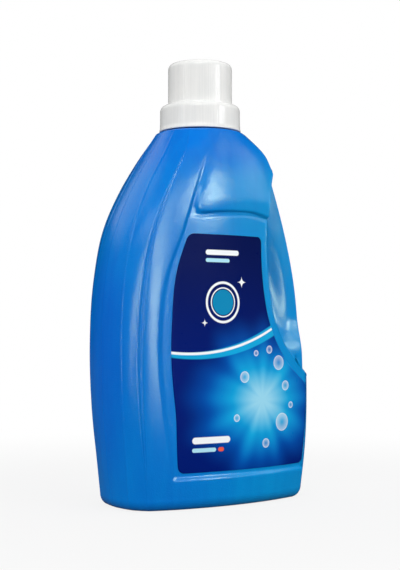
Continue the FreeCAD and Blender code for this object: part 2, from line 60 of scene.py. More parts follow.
print("neck axis at x =", round(NECK_X, 2), "mm, bottle", round(NECK_TOP, 1), "mm")

# %% [markdown]
# ## Helpers for shapes
# A surface is a grid of points worked out as one array: rows go up the piece and columns go round it.
# One helper turns a grid into a mesh, and others give smooth steps for soft edges.

# %% Grid to mesh
def quads_between(left, right):
    """Quads of points (r, c), (r, c+1), (r+1, c+1), (r+1, c), from the indices left and right of each."""
    return np.stack([left[:-1], right[:-1], right[1:], left[1:]], axis=-1).reshape(-1, 4)


def closed_grid(name, grid):
    """A mesh from a grid of (rows, columns, xyz) in millimetres, whose columns wrap round.

    Its faces look outwards when columns run anticlockwise seen from above and rows run up the outside.
    A fan of triangles closes the first and the last row at its mean point.
    """
    rows, columns = grid.shape[:2]
    index = np.arange(rows * columns).reshape(rows, columns)
    right = np.roll(index, -1, axis=1)
    points = np.vstack([grid.reshape(-1, 3), grid[0].mean(axis=0), grid[-1].mean(axis=0)])
    first, last = rows * columns, rows * columns + 1
    fan_low = np.stack([right[0], index[0], np.full(columns, first)], axis=-1)
    fan_high = np.stack([index[-1], right[-1], np.full(columns, last)], axis=-1)
    return mesh_object(name, points, quads_between(index, right), np.vstack([fan_low, fan_high]))


def new_object(name, data):
    """A new object with this data, in the scene."""
    obj = bpy.data.objects.new(name, data)
    scene.collection.objects.link(obj)
    return obj


def mesh_object(name, points, quads, triangles):
    """A smooth-shaded object from points in millimetres about the neck axis.

    The points are moved sideways to the axis's place in the frame and turned into metres.
    """
    mesh = bpy.data.meshes.new(name)
    placed = (points + np.array([NECK_X, 0.0, 0.0])) * MM
    mesh.vertices.add(len(placed))
    mesh.vertices.foreach_set("co", placed.astype(np.float32).ravel())
    corners = np.concatenate([quads.ravel(), triangles.ravel()])
    totals = np.concatenate([np.full(len(quads), 4), np.full(len(triangles), 3)])
    mesh.loops.add(len(corners))
    mesh.loops.foreach_set("vertex_index", corners.astype(np.int32))
    mesh.polygons.add(len(totals))
    mesh.polygons.foreach_set("loop_start", (np.cumsum(totals) - totals).astype(np.int32))
    mesh.polygons.foreach_set("use_smooth", np.ones(len(totals), bool))
    mesh.update(calc_edges=True)
    print(name, len(placed), "points,", 2 * len(quads) + len(triangles), "triangles")
    return new_object(name, mesh)


# %% Smooth steps and soft limits
def step(value, low, high):
    """0 below low, 1 above high, and 3t^2 - 2t^3 between them."""
    t = np.clip((value - low) / (high - low), 0.0, 1.0)
    return t * t * (3 - 2 * t)


def soft_min(a, b, radius):
    """The smaller of a and b, with the corner where they cross rounded over the given radius."""
    overlap = np.maximum(radius - np.abs(a - b), 0.0)
    return np.minimum(a, b) - overlap**2 / (4 * np.maximum(radius, 1e-6))


def soft_max(a, b, radius):
    """The larger of a and b, with the same rounding: minus the soft minimum of -a and -b."""
    return -soft_min(-a, -b, radius)


def graded(*runs):
    """Places from 0 up: each run (end, count) adds count even steps up to its end."""
    places, start = [np.zeros(1)], 0.0
    for end, count in runs:
        places.append(np.linspace(start, end, count + 1)[1:])
        start = end
    return np.concatenate(places)


# %% [markdown]
# ## The outline of the body
# The real bottle is blown in a two-part mould, so its front and back are mirror images and one parting
# line runs round its sides. Five character lines climb from the base to the collar: the left side, the
# edge of the side facet, the ribbed corner, the edge of the front panel and the right edge. A loft
# would work too, but as smooth functions of the height they make every row of the grid exact.

# %% Driving sizes and character lines
NECK_H = 13.0
SHOULDER_Z = NECK_TOP - NECK_H
LEFT_REACH, RIGHT_REACH, FRONT_DEPTH, COLLAR_R = 68.0, 70.5, 35.5, 26.3
FOOT_H, FOOT_ROUND = 7.0, 5.5
WALL = 0.9
PARTING_RIDGE = 0.2  # the parting line stands this far proud of the skin


def on_collar(degrees):
    """(x, y) on the collar's circle at an angle from the x axis: radius times cosine and sine."""
    return COLLAR_R * math.cos(math.radians(degrees)), COLLAR_R * math.sin(math.radians(degrees))


A_TOP, B_TOP, C_TOP, G_TOP = on_collar(23), on_collar(44), on_collar(70), on_collar(45)


def line(reach, *points, end=COLLAR_R):
    """A character line through (share of the shoulder height, share of the reach) points.

    Its last point is its distance at the collar.
    """
    return np.array([(share, value * reach) for share, value in points] + [(1.0, end)])


LEFT = line(LEFT_REACH, (0, 0.9), (0.11, 0.945), (0.26, 0.987), (0.43, 1), (0.6, 0.962), (0.73, 0.865),
            (0.855, 0.672), (0.94, 0.505))
RIGHT = line(RIGHT_REACH, (0, 0.98), (0.11, 0.998), (0.26, 1), (0.43, 0.99), (0.6, 0.94), (0.73, 0.845),
             (0.855, 0.715), (0.91, 0.65), (0.945, 0.592), (0.975, 0.49))
FRONT = line(FRONT_DEPTH, (0, 0.93), (0.11, 0.985), (0.3, 1), (0.64, 0.99), (0.79, 0.965), (0.875, 0.91),
             (0.94, 0.825))
A_X = line(LEFT_REACH, (0, 0.868), (0.11, 0.904), (0.26, 0.95), (0.43, 0.966), (0.6, 0.926), (0.73, 0.831),
           (0.855, 0.645), (0.94, 0.479), end=A_TOP[0])
A_Y = line(FRONT_DEPTH, (0, 0.47), (0.26, 0.507), (0.6, 0.487), (0.73, 0.46), (0.855, 0.39), (0.94, 0.366),
           end=A_TOP[1])
B_X = line(LEFT_REACH, (0, 0.765), (0.11, 0.81), (0.26, 0.862), (0.43, 0.88), (0.6, 0.841), (0.73, 0.75),
           (0.855, 0.56), (0.94, 0.393), end=B_TOP[0])
B_Y = line(FRONT_DEPTH, (0, 0.724), (0.11, 0.79), (0.43, 0.84), (0.64, 0.873), (0.79, 0.884), (0.875, 0.84),
           (0.94, 0.752), end=B_TOP[1])
C_X = line(LEFT_REACH, (0, 0.537), (0.11, 0.603), (0.26, 0.687), (0.43, 0.73), (0.6, 0.666), (0.73, 0.498),
           (0.79, 0.427), (0.855, 0.345), (0.94, 0.22), end=C_TOP[0])
C_Y = line(FRONT_DEPTH, (0, 0.85), (0.11, 0.905), (0.43, 0.927), (0.64, 0.945), (0.79, 0.946), (0.875, 0.9),
           (0.94, 0.813), end=C_TOP[1])
G_X = line(RIGHT_REACH, (0, 0.85), (0.11, 0.893), (0.26, 0.925), (0.43, 0.895), (0.6, 0.81), (0.73, 0.71),
           (0.855, 0.592), (0.91, 0.535), (0.945, 0.475), end=G_TOP[0])
G_Y = line(FRONT_DEPTH, (0, 0.57), (0.11, 0.62), (0.3, 0.65), (0.73, 0.62), (0.91, 0.6), end=G_TOP[1])


def along(points, share):
    """Value of a character line at shares of the height, as one array.

    Between two points it is the cubic with the given values and slopes at both ends. An inner slope is
    the mean of the slopes before and after, each weighted by the other's length.
    """
    s, v = points[:, 0], points[:, 1]
    run = np.diff(s)
    rise = np.diff(v) / run
    inner = (rise[:-1] * run[1:] + rise[1:] * run[:-1]) / (run[:-1] + run[1:])
    slope = np.concatenate([rise[:1], inner, rise[-1:]])
    share = np.clip(share, s[0], s[-1])
    k = np.clip(np.searchsorted(s, share, side="right") - 1, 0, len(s) - 2)
    t = (share - s[k]) / run[k]
    return ((2 * t**3 - 3 * t**2 + 1) * v[k] + (t**3 - 2 * t**2 + t) * run[k] * slope[k]
            + (3 * t**2 - 2 * t**3) * v[k + 1] + (t**3 - t**2) * run[k] * slope[k + 1])


print("widest belly:", round(along(LEFT, 0.43).item() + along(RIGHT, 0.26).item(), 1), "mm")

# %% [markdown]
# ## Columns round the body
# The columns of the grid follow the character lines, so each edge has its own column and stays crisp.
# Arcs of a circle join the edges, as in a mould drawing. Columns crowd together at the ribs, at the
# panel's wall and at the grip's crease, because light catches the bottle there.

# %% Arcs and the front face
def to_centre(p, m, q):
    """Step from p to the centre of the circle through p, m and q, for every row: (rows, 2).

    The centre lies where the perpendicular bisectors of the chords p-m and p-q meet.
    """
    b, c = m - p, q - p
    twice = 2 * (b[:, 0] * c[:, 1] - b[:, 1] * c[:, 0])
    bb, cc = (b**2).sum(1), (c**2).sum(1)
    return np.stack([c[:, 1] * bb - b[:, 1] * cc, b[:, 0] * cc - c[:, 0] * bb], 1) / twice[:, None]


def circle(p, m, q):
    """Centre and radius of the circle through three points, for every row."""
    u = to_centre(p, m, q)
    return p + u, np.hypot(u[:, 0], u[:, 1])


def arc(p, m, q, t):
    """Points at shares t of the circle's arc from p through m to q, for every row: (rows, len(t), 2).

    The radius to p is turned by t times the angle between the radii to p and to q.
    """
    u = to_centre(p, m, q)
    r1 = q - p - u
    sweep = np.arctan2(-u[:, 0] * r1[:, 1] + u[:, 1] * r1[:, 0], -(u * r1).sum(1))
    turn = sweep[:, None] * t[None, :]
    x = -u[:, :1] * np.cos(turn) + u[:, 1:] * np.sin(turn)
    y = -u[:, :1] * np.sin(turn) - u[:, 1:] * np.cos(turn)
    return np.stack([x + (p + u)[:, :1], y + (p + u)[:, 1:]], -1)


def unit(v):
    """v divided by its length."""
    return v / np.hypot(v[..., 0], v[..., 1])[..., None]


def turned(v):
    """v turned left by a right angle: (-y, x)."""
    return np.stack([-v[..., 1], v[..., 0]], -1)


def swell(p, q, amount):
    """Middle of the line from p to q, pushed outwards by amount."""
    return (p + q) / 2 + unit(turned(q - p)) * amount


FLAT_FRONT_X = -10.0  # the front face stands out most here, below the collar
COLLAR_START = 0.9  # share of the shoulder height where the collar begins
NOSE_X, NOSE_Y = 0.78, 0.56  # middle of the nose, as shares of the way out and of the edge's depth
NOSE_TOP = 22  # its place on the collar, in degrees


def edges(share):
    """The edge points of the half outline with y > 0, each as (rows, 2)."""
    left, right, front = along(LEFT, share), along(RIGHT, share), along(FRONT, share)
    a, b, c, g = [np.stack([side * along(x, share), along(y, share)], 1) for side, x, y in (
        (-1, A_X, A_Y), (-1, B_X, B_Y), (-1, C_X, C_Y), (1, G_X, G_Y))]
    top = np.clip((share - COLLAR_START) / (1 - COLLAR_START), 0, 1)
    f = np.stack([FLAT_FRONT_X * (1 - top), front], 1)
    turn = np.stack([g[:, 0] + (right - g[:, 0]) * NOSE_X, g[:, 1] * NOSE_Y], 1)
    turn[share >= 1.0] = on_collar(NOSE_TOP)
    side = np.stack([-left + (left + a[:, 0]) / 4, a[:, 1] / 2], 1)
    left_end, right_end = [np.stack([x, np.zeros_like(x)], 1) for x in (-left, right)]
    return dict(l=left_end, side=side, a=a, b=b, c=c, f=f, g=g, turn=turn, r=right_end)


# %% The crease of the grip
CREASE_X, CREASE_Z = 30.5, 149.0
CREASE_R, CREASE_TOP_R, CREASE_FOOT_R = 150.0, 61.0, 63.2
CREASE_UP, CREASE_DOWN = math.radians(13.9), math.radians(10.8)
MIDDLE = np.array([CREASE_X + CREASE_R, CREASE_Z])
TOP_CENTRE = MIDDLE + (CREASE_R - CREASE_TOP_R) * np.array([-math.cos(CREASE_UP), math.sin(CREASE_UP)])
FOOT_CENTRE = MIDDLE + (CREASE_R - CREASE_FOOT_R) * np.array([-math.cos(CREASE_DOWN), -math.sin(CREASE_DOWN)])
CREASE_ARCS = (MIDDLE, CREASE_R), (TOP_CENTRE, CREASE_TOP_R), (FOOT_CENTRE, CREASE_FOOT_R)


def crease_distance(x, z):
    """Signed distance to the crease, positive on the grip's side.

    Seen from the front the crease is three tangent arcs, and each distance is a radius less the distance
    to its centre.
    """
    angle = np.arctan2(z - MIDDLE[1], MIDDLE[0] - x)
    middle, top, foot = [radius - np.hypot(x - centre[0], z - centre[1]) for centre, radius in CREASE_ARCS]
    return np.where(angle > CREASE_UP, top, np.where(angle < -CREASE_DOWN, foot, middle))


def crease_x(z, shift=0.0):
    """x of the crease at each height, moved sideways from the grip by shift.

    It is the left side of the circle of that height, by Pythagoras.
    """
    joint_up = MIDDLE[1] + (CREASE_R + shift) * math.sin(CREASE_UP)
    joint_down = MIDDLE[1] - (CREASE_R + shift) * math.sin(CREASE_DOWN)
    middle, top, foot = [centre[0] - np.sqrt(np.maximum((radius + shift)**2 - (z - centre[1])**2, 0.0))
                         for centre, radius in CREASE_ARCS]
    return np.where(z > joint_up, top, np.where(z < joint_down, foot, middle))


print("crease nearest the neck axis:", round(crease_x(np.array([CREASE_Z])).item(), 1), "mm")

# %% The ribbed corner
RIB_FOOT_Z, RIB_TOP_Z = 13.0, 219.0
RIB_SPREAD_A, RIB_SPREAD_C, RIB_DEPTH, RIB_LEAST = 2.8, 3.0, 0.95, 0.08
RIB_SWELL = 0.7  # below 1, the ribs keep their width nearly to the ends
RIDGE_B, RIDGE_ENDS = 0.55, 0.225  # weights of the corner and of each outer ridge in the middle ridge


def ribs(e, share, t):
    """Two grooves round the corner b, which close to a point at both ends: (rows, len(t), 2).

    The base is the parabola through both outer ridges and the middle ridge. The grooves take the depth
    times sin^2(2 pi t) off it: two round grooves between three round ridges.
    """
    run = np.clip((share * SHOULDER_Z - RIB_FOOT_Z) / (RIB_TOP_Z - RIB_FOOT_Z), 0, 1)
    size = np.maximum(RIB_LEAST, np.sin(np.pi * run)**RIB_SWELL)[:, None]
    first = e["b"] + unit(e["a"] - e["b"]) * RIB_SPREAD_A * size
    last = e["b"] + unit(e["c"] - e["b"]) * RIB_SPREAD_C * size
    swing = e["b"] * RIDGE_B + (first + last) * RIDGE_ENDS
    control = 2 * swing - (first + last) / 2
    out = unit(turned(last - first))
    t = t[None, :, None]
    base = (1 - t)**2 * first[:, None] + 2 * t * (1 - t) * control[:, None] + t**2 * last[:, None]
    wave = np.sin(2 * np.pi * t)**2
    return first, last, base - out[:, None] * wave * (RIB_DEPTH * (size - RIB_LEAST))[:, None]


# %% One half of the skin
SIDE_T = graded((0.02, 1), (0.05, 1), (0.12, 1), (0.92, 11), (0.96, 1), (1.0, 1))
FACET_T = graded((0.05, 1), (0.93, 8), (1.0, 1))
RIB_T = graded((1.0, 22))
FRAME_T = graded((0.88, 6), (0.95, 1), (1.0, 1))
PANEL_T = graded((0.11, 14), (0.96, 18), (1.0, 2))
CREASE_STEPS = graded((3.0, 9), (11.0, 18)) - 1.2  # millimetres across the crease
WEB_T = graded((0.9, 8), (1.0, 1))
NOSE_T = graded((0.04, 1), (0.9, 11), (0.955, 1), (0.985, 1), (1.0, 1))
CREASE_ROOM = 10.6  # room for the crease's columns before the right edge
FACET_BOW, FRAME_BOW = 0.5, 0.25


def half_skin(share):
    """The skin with y > 0 before the panel and the grip are sunk: (rows, columns, 2).

    The columns run from the left side to the right side.
    """
    e = edges(share)
    z = share * SHOULDER_Z
    first, last, ribbed = ribs(e, share, RIB_T)
    centre, radius = circle(e["c"], e["f"], e["g"])
    crease = np.minimum(crease_x(z), e["g"][:, 0] - CREASE_ROOM)
    zone = crease[:, None] + CREASE_STEPS
    panel = e["c"][:, :1] + (zone[:, :1] - e["c"][:, :1]) * PANEL_T
    web = zone[:, -1:] + (e["g"][:, :1] - zone[:, -1:]) * WEB_T
    x = np.concatenate([panel, zone[:, 1:], web[:, 1:]], 1)
    y = centre[:, 1:] + np.sqrt(np.maximum(radius[:, None]**2 - (x - centre[:, :1])**2, 0.0))
    return np.concatenate([
        arc(e["l"], e["side"], e["a"], SIDE_T),
        arc(e["a"], swell(e["a"], first, FACET_BOW), first, FACET_T)[:, 1:],
        ribbed[:, 1:],
        arc(last, swell(last, e["c"], FRAME_BOW), e["c"], FRAME_T)[:, 1:],
        np.stack([x, y], -1)[:, 1:],
        arc(e["g"], e["turn"], e["r"], NOSE_T)[:, 1:]], axis=1)


def outward(half):
    """Unit normals of the outline in the plane, from the step between neighbouring columns."""
    tangent = np.gradient(half, axis=1)
    tangent[:, 0], tangent[:, -1] = (0, 1), (0, -1)
    return unit(turned(tangent))


print("columns in one half:", half_skin(np.array([0.5])).shape[1])

# %% [markdown]
# ## The sunk panel, the shoulder pad and the pinch grip
# The label lies in a panel sunk a little into the front, so that it isn't rubbed in the crate. Above it
# a pad keeps the full depth, and to the right the mould pinches the body down to a thin web that the
# fingers close round. Each is a soft step: a distance from an outline seen from the front, turned into
# a depth. Booleans would leave sharp edges that blow moulding can't make.

# %% Panel and pad
RECESS = 1.3
PANEL_FOOT_Z, PANEL_INSET = 18.5, 1.6
PANEL_SOFT, RIGHT_SOFT, RIGHT_OUT = 1.6, 0.8, 0.9  # half widths of the walls, and the right one's shift
PANEL_CORNER, CORNER_OUT = 4.0, 1.5
PAD_FOOT_Z, PAD_WAVE, PAD_LEFT_GAP, PAD_GROOVE_TOP_Z, PAD_CORNER = 171.0, 2.0, 2.8, 197.0, 9.0
PAD_RISE = np.array([(0, 0.0), (0.36, 1.2), (0.6, 1.25), (0.82, 0.1), (1.0, 0.3)])  # its wavy lower edge
GROOVE_CLOSES = 0.3  # share of its width that the groove loses by its top
PAD_EDGE = (-1.1, 0.7)  # the pad's wall lies between these distances off its outline
GUTTER, GUTTER_NEAR, GUTTER_FAR = 0.4, (-0.4, 0.9), (0.9, 3.4)  # a shallow gutter outside it
BLUR, BLUR_Z = 5, (179.0, 199.0)  # between these heights the pad's edges grow softer
FADE_Z = (175.0, 215.0)  # and between these the whole panel fades into the shoulder
CROWN, CROWN_REACH = 1.15, 18.0  # the pad bulges away from its edges
CROWN_RIGHT = 12.0  # and flattens over this distance towards the right edge


def panel_depth(x, z):
    """How deep the skin is sunk at each place of the front, in millimetres.

    The sunk area lies right of the corner line, above its foot and left of the right edge. The pad is
    taken out of it with a rounded lower left corner, and a narrow groove stays between the pad and the
    corner line. Inside its edges the pad is crowned by the parabola 2t - t^2 of the distance.
    """
    share = z / SHOULDER_Z
    from_corner = x + along(C_X, share)
    left = from_corner - PANEL_INSET
    right = along(G_X, share) + RIGHT_OUT - x
    pad_left_x = PANEL_INSET + PAD_LEFT_GAP - along(C_X, PAD_FOOT_Z / SHOULDER_Z)
    pad_right_x = along(G_X, PAD_FOOT_Z / SHOULDER_Z)
    t = (x - pad_left_x) / (pad_right_x - pad_left_x)
    below_pad = PAD_FOOT_Z + PAD_WAVE * along(PAD_RISE, t) - z
    groove = PAD_LEFT_GAP * (1 - GROOVE_CLOSES * step(z, PAD_FOOT_Z, PAD_GROOVE_TOP_Z))
    beside_pad = PANEL_INSET + groove - from_corner
    off_pad = soft_max(below_pad, beside_pad, PAD_CORNER)
    fade = 1 - step(z, *FADE_Z)
    low_left = soft_min(z - PANEL_FOOT_Z, left + CORNER_OUT, PANEL_CORNER)
    wall = np.minimum(step(left, -PANEL_SOFT, PANEL_SOFT), step(low_left, -PANEL_SOFT, PANEL_SOFT))
    wall = np.minimum(wall, step(right, -RIGHT_SOFT, RIGHT_SOFT))
    off_pad = off_pad / (1 + BLUR * step(z, *BLUR_Z))
    gutter = GUTTER * step(off_pad, *GUTTER_NEAR) * (1 - step(off_pad, *GUTTER_FAR))
    inside = np.clip(-off_pad / CROWN_REACH, 0, 1)
    crown = CROWN * (2 * inside - inside**2) * step(right, 0.0, CROWN_RIGHT)
    return ((RECESS * step(off_pad, *PAD_EDGE) + gutter) * wall - crown) * fade


# %% Pinch grip
WEB_HALF, GRIP_TOP_Z = 8.6, 208.5
FOOT_SWELL, SWELL_FOOT_Z, SWELL_TOP_Z = 5.0, 88.0, 112.0  # the web's foot is thicker
WALL_SLOPE, FOOT_EASE, EASE_TOP_Z = 6.0, 4.0, 124.0  # the wall eases off below the middle
COVE, COVE_LEAST, COVE_MOST = 0.6, 0.1, 12.0  # share of the step that the cove rounds
HOLLOW_X, HOLLOW_Z, HOLLOW_LEAN = 46.5, 133.0, math.radians(12)
HOLLOW_REACH, HOLLOW_RISE, HOLLOW_DEPTH = 12.65, 41.8, 4.4
LIP, LIP_R, LIP_REACH = 0.6, 3.0, 5.0  # the wall's soft start, and the rounding it gains over the reach


def grip_limit(x, z, y):
    """Half thickness left by the grip, given the half depth y of the skin.

    Beyond the crease the wall falls with the distance, steeply along the side and gently at the foot,
    and it runs out in a cove on the web. A leaning oval hollow is pressed into the web for the fingers.
    """
    d = np.minimum(crease_distance(x, z), GRIP_TOP_Z - z)
    ramp = np.where(d > LIP, d, np.maximum(d + LIP, 0.0)**2 / (4 * LIP))
    slope = WALL_SLOPE - FOOT_EASE * step(z, EASE_TOP_Z, SWELL_FOOT_Z)
    u = (x - HOLLOW_X) * math.cos(HOLLOW_LEAN) + (z - HOLLOW_Z) * math.sin(HOLLOW_LEAN)
    v = (z - HOLLOW_Z) * math.cos(HOLLOW_LEAN) - (x - HOLLOW_X) * math.sin(HOLLOW_LEAN)
    oval = np.hypot(u / HOLLOW_REACH, v / HOLLOW_RISE)
    swollen = FOOT_SWELL * (1 - step(z, SWELL_FOOT_Z, SWELL_TOP_Z))
    web = WEB_HALF - HOLLOW_DEPTH * (1 - step(oval, 0.0, 1.0)) + swollen
    cove = np.clip(COVE * (y - web), COVE_LEAST, COVE_MOST)
    sunk = soft_max(web, y - slope * ramp, cove)
    return np.where(d > -LIP, soft_min(y, sunk, LIP_R * step(d, 0.0, LIP_REACH) + 1e-6), y)


# %% [markdown]
# ## The whole bottle as one surface
# One moulding is one closed mesh. Its rows start at the middle of the base, run over the standing ring,
# up the skin, the collar and the threaded neck, and then down the bore and the inside of the wall. The
# inside is coarse, because nobody sees it, but it makes the wall real.

# %% Rows of the outer skin
ROW_RUNS = ((FOOT_H, 16, 1.0), (16, 22, 0.42), (22, 70, 1.45), (70, 104, 0.8), (104, 166, 1.3),
            (166, 177, 0.5), (177, 196, 1.0), (196, 212, 0.75), (212, SHOULDER_Z - 1.5, 0.95))
row_z = np.concatenate([np.arange(*run) for run in ROW_RUNS]
                       + [SHOULDER_Z - np.array([1.3, 1.0, 0.7, 0.4, 0.2, 0.05, 0.0])])
COLLAR_EDGE = 1.3  # rounding of the shoulder's top edge
BEAD, BEAD_WIDTH = 0.3, 0.8  # a fine bead along the side facet's edge and the grip's crease
EDGE_A = len(SIDE_T) - 1
FRONT_START = len(SIDE_T) + len(FACET_T) + len(RIB_T) + len(FRAME_T) - 4
FRONT_END = FRONT_START + len(PANEL_T) + len(CREASE_STEPS) + len(WEB_T) + 2  # and the nose's start


def skin_rows(z, inset=0.0):
    """The finished half skin at each height: (rows, columns, 2), moved inwards by inset.

    Each column moves along its normal by its own depth. The bead is a triangle of the distance from its
    line, and the shoulder's top edge a quarter circle of the height.
    """
    half = half_skin(z / SHOULDER_Z)
    normal = outward(half)
    height = np.broadcast_to(z[:, None], half.shape[:2])
    front = np.zeros(half.shape[1], bool)
    front[FRONT_START:FRONT_END] = True
    depth = np.where(front, panel_depth(half[..., 0], height), 0.0) + PARTING_RIDGE
    off_crease = np.abs(crease_distance(half[..., 0], height) + BEAD_WIDTH)
    depth -= BEAD * front * np.clip(1 - off_crease / BEAD_WIDTH, 0, 1) * (height < GRIP_TOP_Z)
    depth[:, [0, EDGE_A, -1]] = [0.0, PARTING_RIDGE - BEAD, 0.0]
    rounding = COLLAR_EDGE * (1 - np.sqrt(1 - np.clip((z - SHOULDER_Z) / COLLAR_EDGE + 1, 0, 1)**2))
    half = half - normal * (depth + inset + rounding[:, None])[..., None]
    limit = grip_limit(half[..., 0], height, half[..., 1] + inset) - inset
    beyond = np.arange(half.shape[1]) > FRONT_START
    cut = beyond & (half[..., 1] > 0)
    half[..., 1] = np.where(cut, np.minimum(half[..., 1], limit), half[..., 1])
    return half


skin = skin_rows(row_z)
print("skin rows:", len(row_z), "from", row_z[0], "to", row_z[-1], "mm")


# %% Foot and base
PUSH_UP, STANDING_BAND, PUSH_UP_SLOPE = 3.2, 7.0, 4.0


def shrunk(half, inwards, closing=0.0):
    """The outline pulled in at its front and its sides, once for every distance: (rows, columns, 2).

    x and y shrink by their own shares, so neighbouring columns never cross. Closing pulls the ends in
    further with the cube of the share, until the ring closes at its middle.
    """
    centre = (half[-1, 0] + half[0, 0]) / 2
    width, depth = (half[-1, 0] - half[0, 0]) / 2, half[:, 1].max()
    share = inwards / depth
    ends = inwards + closing * (width - depth) * share**3
    x = centre + (half[None, :, 0] - centre) * (1 - ends / width)[:, None]
    return np.stack([x, half[None, :, 1] * (1 - share)[:, None]], -1)


FOOT_DEGREES = np.array([0.0, 12, 24, 36, 48, 60, 72, 82])
BASE_SHARES = np.array([0.97, 0.8, 0.62, 0.5, 0.44, 0.4, 0.36, 0.32, 0.28, 0.24, 0.16, 0.08])


def foot_rows(half, inset=0.0):
    """The quarter round under the skin, from the standing ring up: sine and cosine of one angle."""
    angle = np.radians(FOOT_DEGREES)
    return shrunk(half, FOOT_ROUND * (1 - np.sin(angle))), FOOT_H - (FOOT_H - inset) * np.cos(angle)


def base_rows(ring, lift=0.0):
    """The base from near its middle out to the standing ring, its middle pushed up in a smooth step."""
    inwards = ring[:, 1].max() * BASE_SHARES
    rise = PUSH_UP * step(inwards, STANDING_BAND - 1, STANDING_BAND + PUSH_UP_SLOPE + 1)
    return shrunk(ring, inwards, closing=1.0), rise + lift


def whole_ring(half, z):
    """Full rings from half rings: along the front (y < 0) to the right side, then back along the rear."""
    front = np.stack([half[..., 0], -half[..., 1], np.broadcast_to(z[:, None], half.shape[:2])], -1)
    rear = front[:, -2:0:-1] * np.array([1.0, -1.0, 1.0])
    return np.concatenate([front, rear], 1)


# %% Threaded neck
THREAD_LEAD, THREAD_TURNS, THREAD_RISE, THREAD_START = 5.0, 1.25, 1.4, 2.6
THREAD_BASE, THREAD_CREST, THREAD_RUN_OUT = 2.1, 1.0, 0.25  # the run-out in radians
NECK_R, NECK_WALL, NECK_FILLET = 20.0, 1.8, 0.8


def thread(angle, z, start_z, start_angle=0.0):
    """Height of a ridge on a helix at each place of a wall: flat crest, sloped flanks and run-out ends."""
    height = np.zeros(np.broadcast(angle, z).shape)
    for turn in range(2):
        run = (angle - start_angle) % (2 * np.pi) + 2 * np.pi * turn
        off = np.abs(z - start_z - THREAD_LEAD * run / (2 * np.pi))
        flank = np.clip((THREAD_BASE / 2 - off) / ((THREAD_BASE - THREAD_CREST) / 2), 0, 1)
        end = 2 * np.pi * THREAD_TURNS
        ends = step(run, 0.0, THREAD_RUN_OUT) * (1 - step(run, end - THREAD_RUN_OUT, end))
        height = np.maximum(height, THREAD_RISE * flank * ends)
    return height


def revolved(radius, z, angle):
    """Rings of given radius (rows or rows by columns) and height at the given angles."""
    r = np.broadcast_to(radius if radius.ndim == 2 else radius[:, None], (len(z), len(angle)))
    return np.stack([r * np.cos(angle), r * np.sin(angle), np.broadcast_to(z[:, None], r.shape)], -1)


def neck_rings(collar):
    """Shoulder flat, fillet, threaded neck, rim and bore, on the angles of the collar's columns."""
    angle = np.arctan2(collar[:, 1], collar[:, 0])
    z = np.concatenate([[0.0, 0.05, 0.3, NECK_FILLET], np.arange(1.1, NECK_H - 0.45, 0.26),
                        [NECK_H - 0.4, NECK_H - 0.1]])
    r = NECK_R + NECK_FILLET * (1 - step(z, 0.0, NECK_FILLET))
    r = r[:, None] + thread(angle, z[:, None], THREAD_START)
    r[-1] -= 0.3
    bore_z = np.array([NECK_TOP, NECK_TOP, NECK_TOP - 0.3, SHOULDER_Z + 4, SHOULDER_Z, SHOULDER_Z - WALL])
    bore_r = NECK_R - np.array([0.6, NECK_WALL - 0.3, NECK_WALL, NECK_WALL, NECK_WALL, NECK_WALL])
    return np.concatenate([revolved(r, z + SHOULDER_Z, angle), revolved(bore_r, bore_z, angle)])


# %% Assemble the bottle
foot_half, foot_z = foot_rows(skin[0])
base_half, base_z = base_rows(foot_half[0])
inner_z = np.concatenate([[SHOULDER_Z - 0.1], np.arange(214, 12, -9.0), [FOOT_H + 1]])  # coarse rows
inner = skin_rows(inner_z, WALL)
inner_foot, inner_foot_z = foot_rows(inner[-1], WALL)
inner_base, inner_base_z = base_rows(inner_foot[0], WALL)
outside = np.concatenate([whole_ring(half, z) for half, z in (
    (base_half, base_z), (foot_half, foot_z), (skin, row_z))])
inside = np.concatenate([whole_ring(half, z) for half, z in (
    (inner, inner_z - WALL), (inner_foot[::-1], inner_foot_z[::-1]), (inner_base[::-2], inner_base_z[::-2]))])
bottle = closed_grid("bottle_body", np.concatenate([outside, neck_rings(outside[-1]), inside]))
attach(bottle, "bottle")
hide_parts("bottle")

# %% [markdown]
# ## The label
# The label is a printed film, glued in the panel between the corner line and the grip's crease. A flat
# shape wrapped with a modifier could slide off the skin, so its face lies on the circle of the front,
# a little above the panel, and a modifier gives it its thickness. Its UV map holds real distances, so
# the print has the right scale everywhere.

# %% Film on the panel
FILM = 0.24
LABEL_FOOT_Z, LABEL_TOP_Z, LABEL_CORNER = 21.5, 159.5, 3.5
LABEL_MARGIN, LABEL_BOW, LABEL_GRIP_MARGIN, LABEL_EDGE_GAP = 5.2, 3.6, 5.6, 0.6
BOW_FULL_Z, BOW_FADE_Z, BOW_KEPT = 60.0, 105.0, 0.2  # the left edge bows in most between these
GRIP_CORNER = 5.0  # rounding where the right edge meets the grip
BEDDED = 0.02  # the film's rear face lies this far inside the panel, so no gap shows
UV_MM = 200.0  # millimetres for a whole UV unit


def corner_pull(z):
    """How far a rounded corner pulls the side edge in: a quarter circle at the foot and at the top."""
    near = np.clip(LABEL_CORNER - np.minimum(z - LABEL_FOOT_Z, LABEL_TOP_Z - z), 0, LABEL_CORNER)
    return LABEL_CORNER - np.sqrt(LABEL_CORNER**2 - near**2)


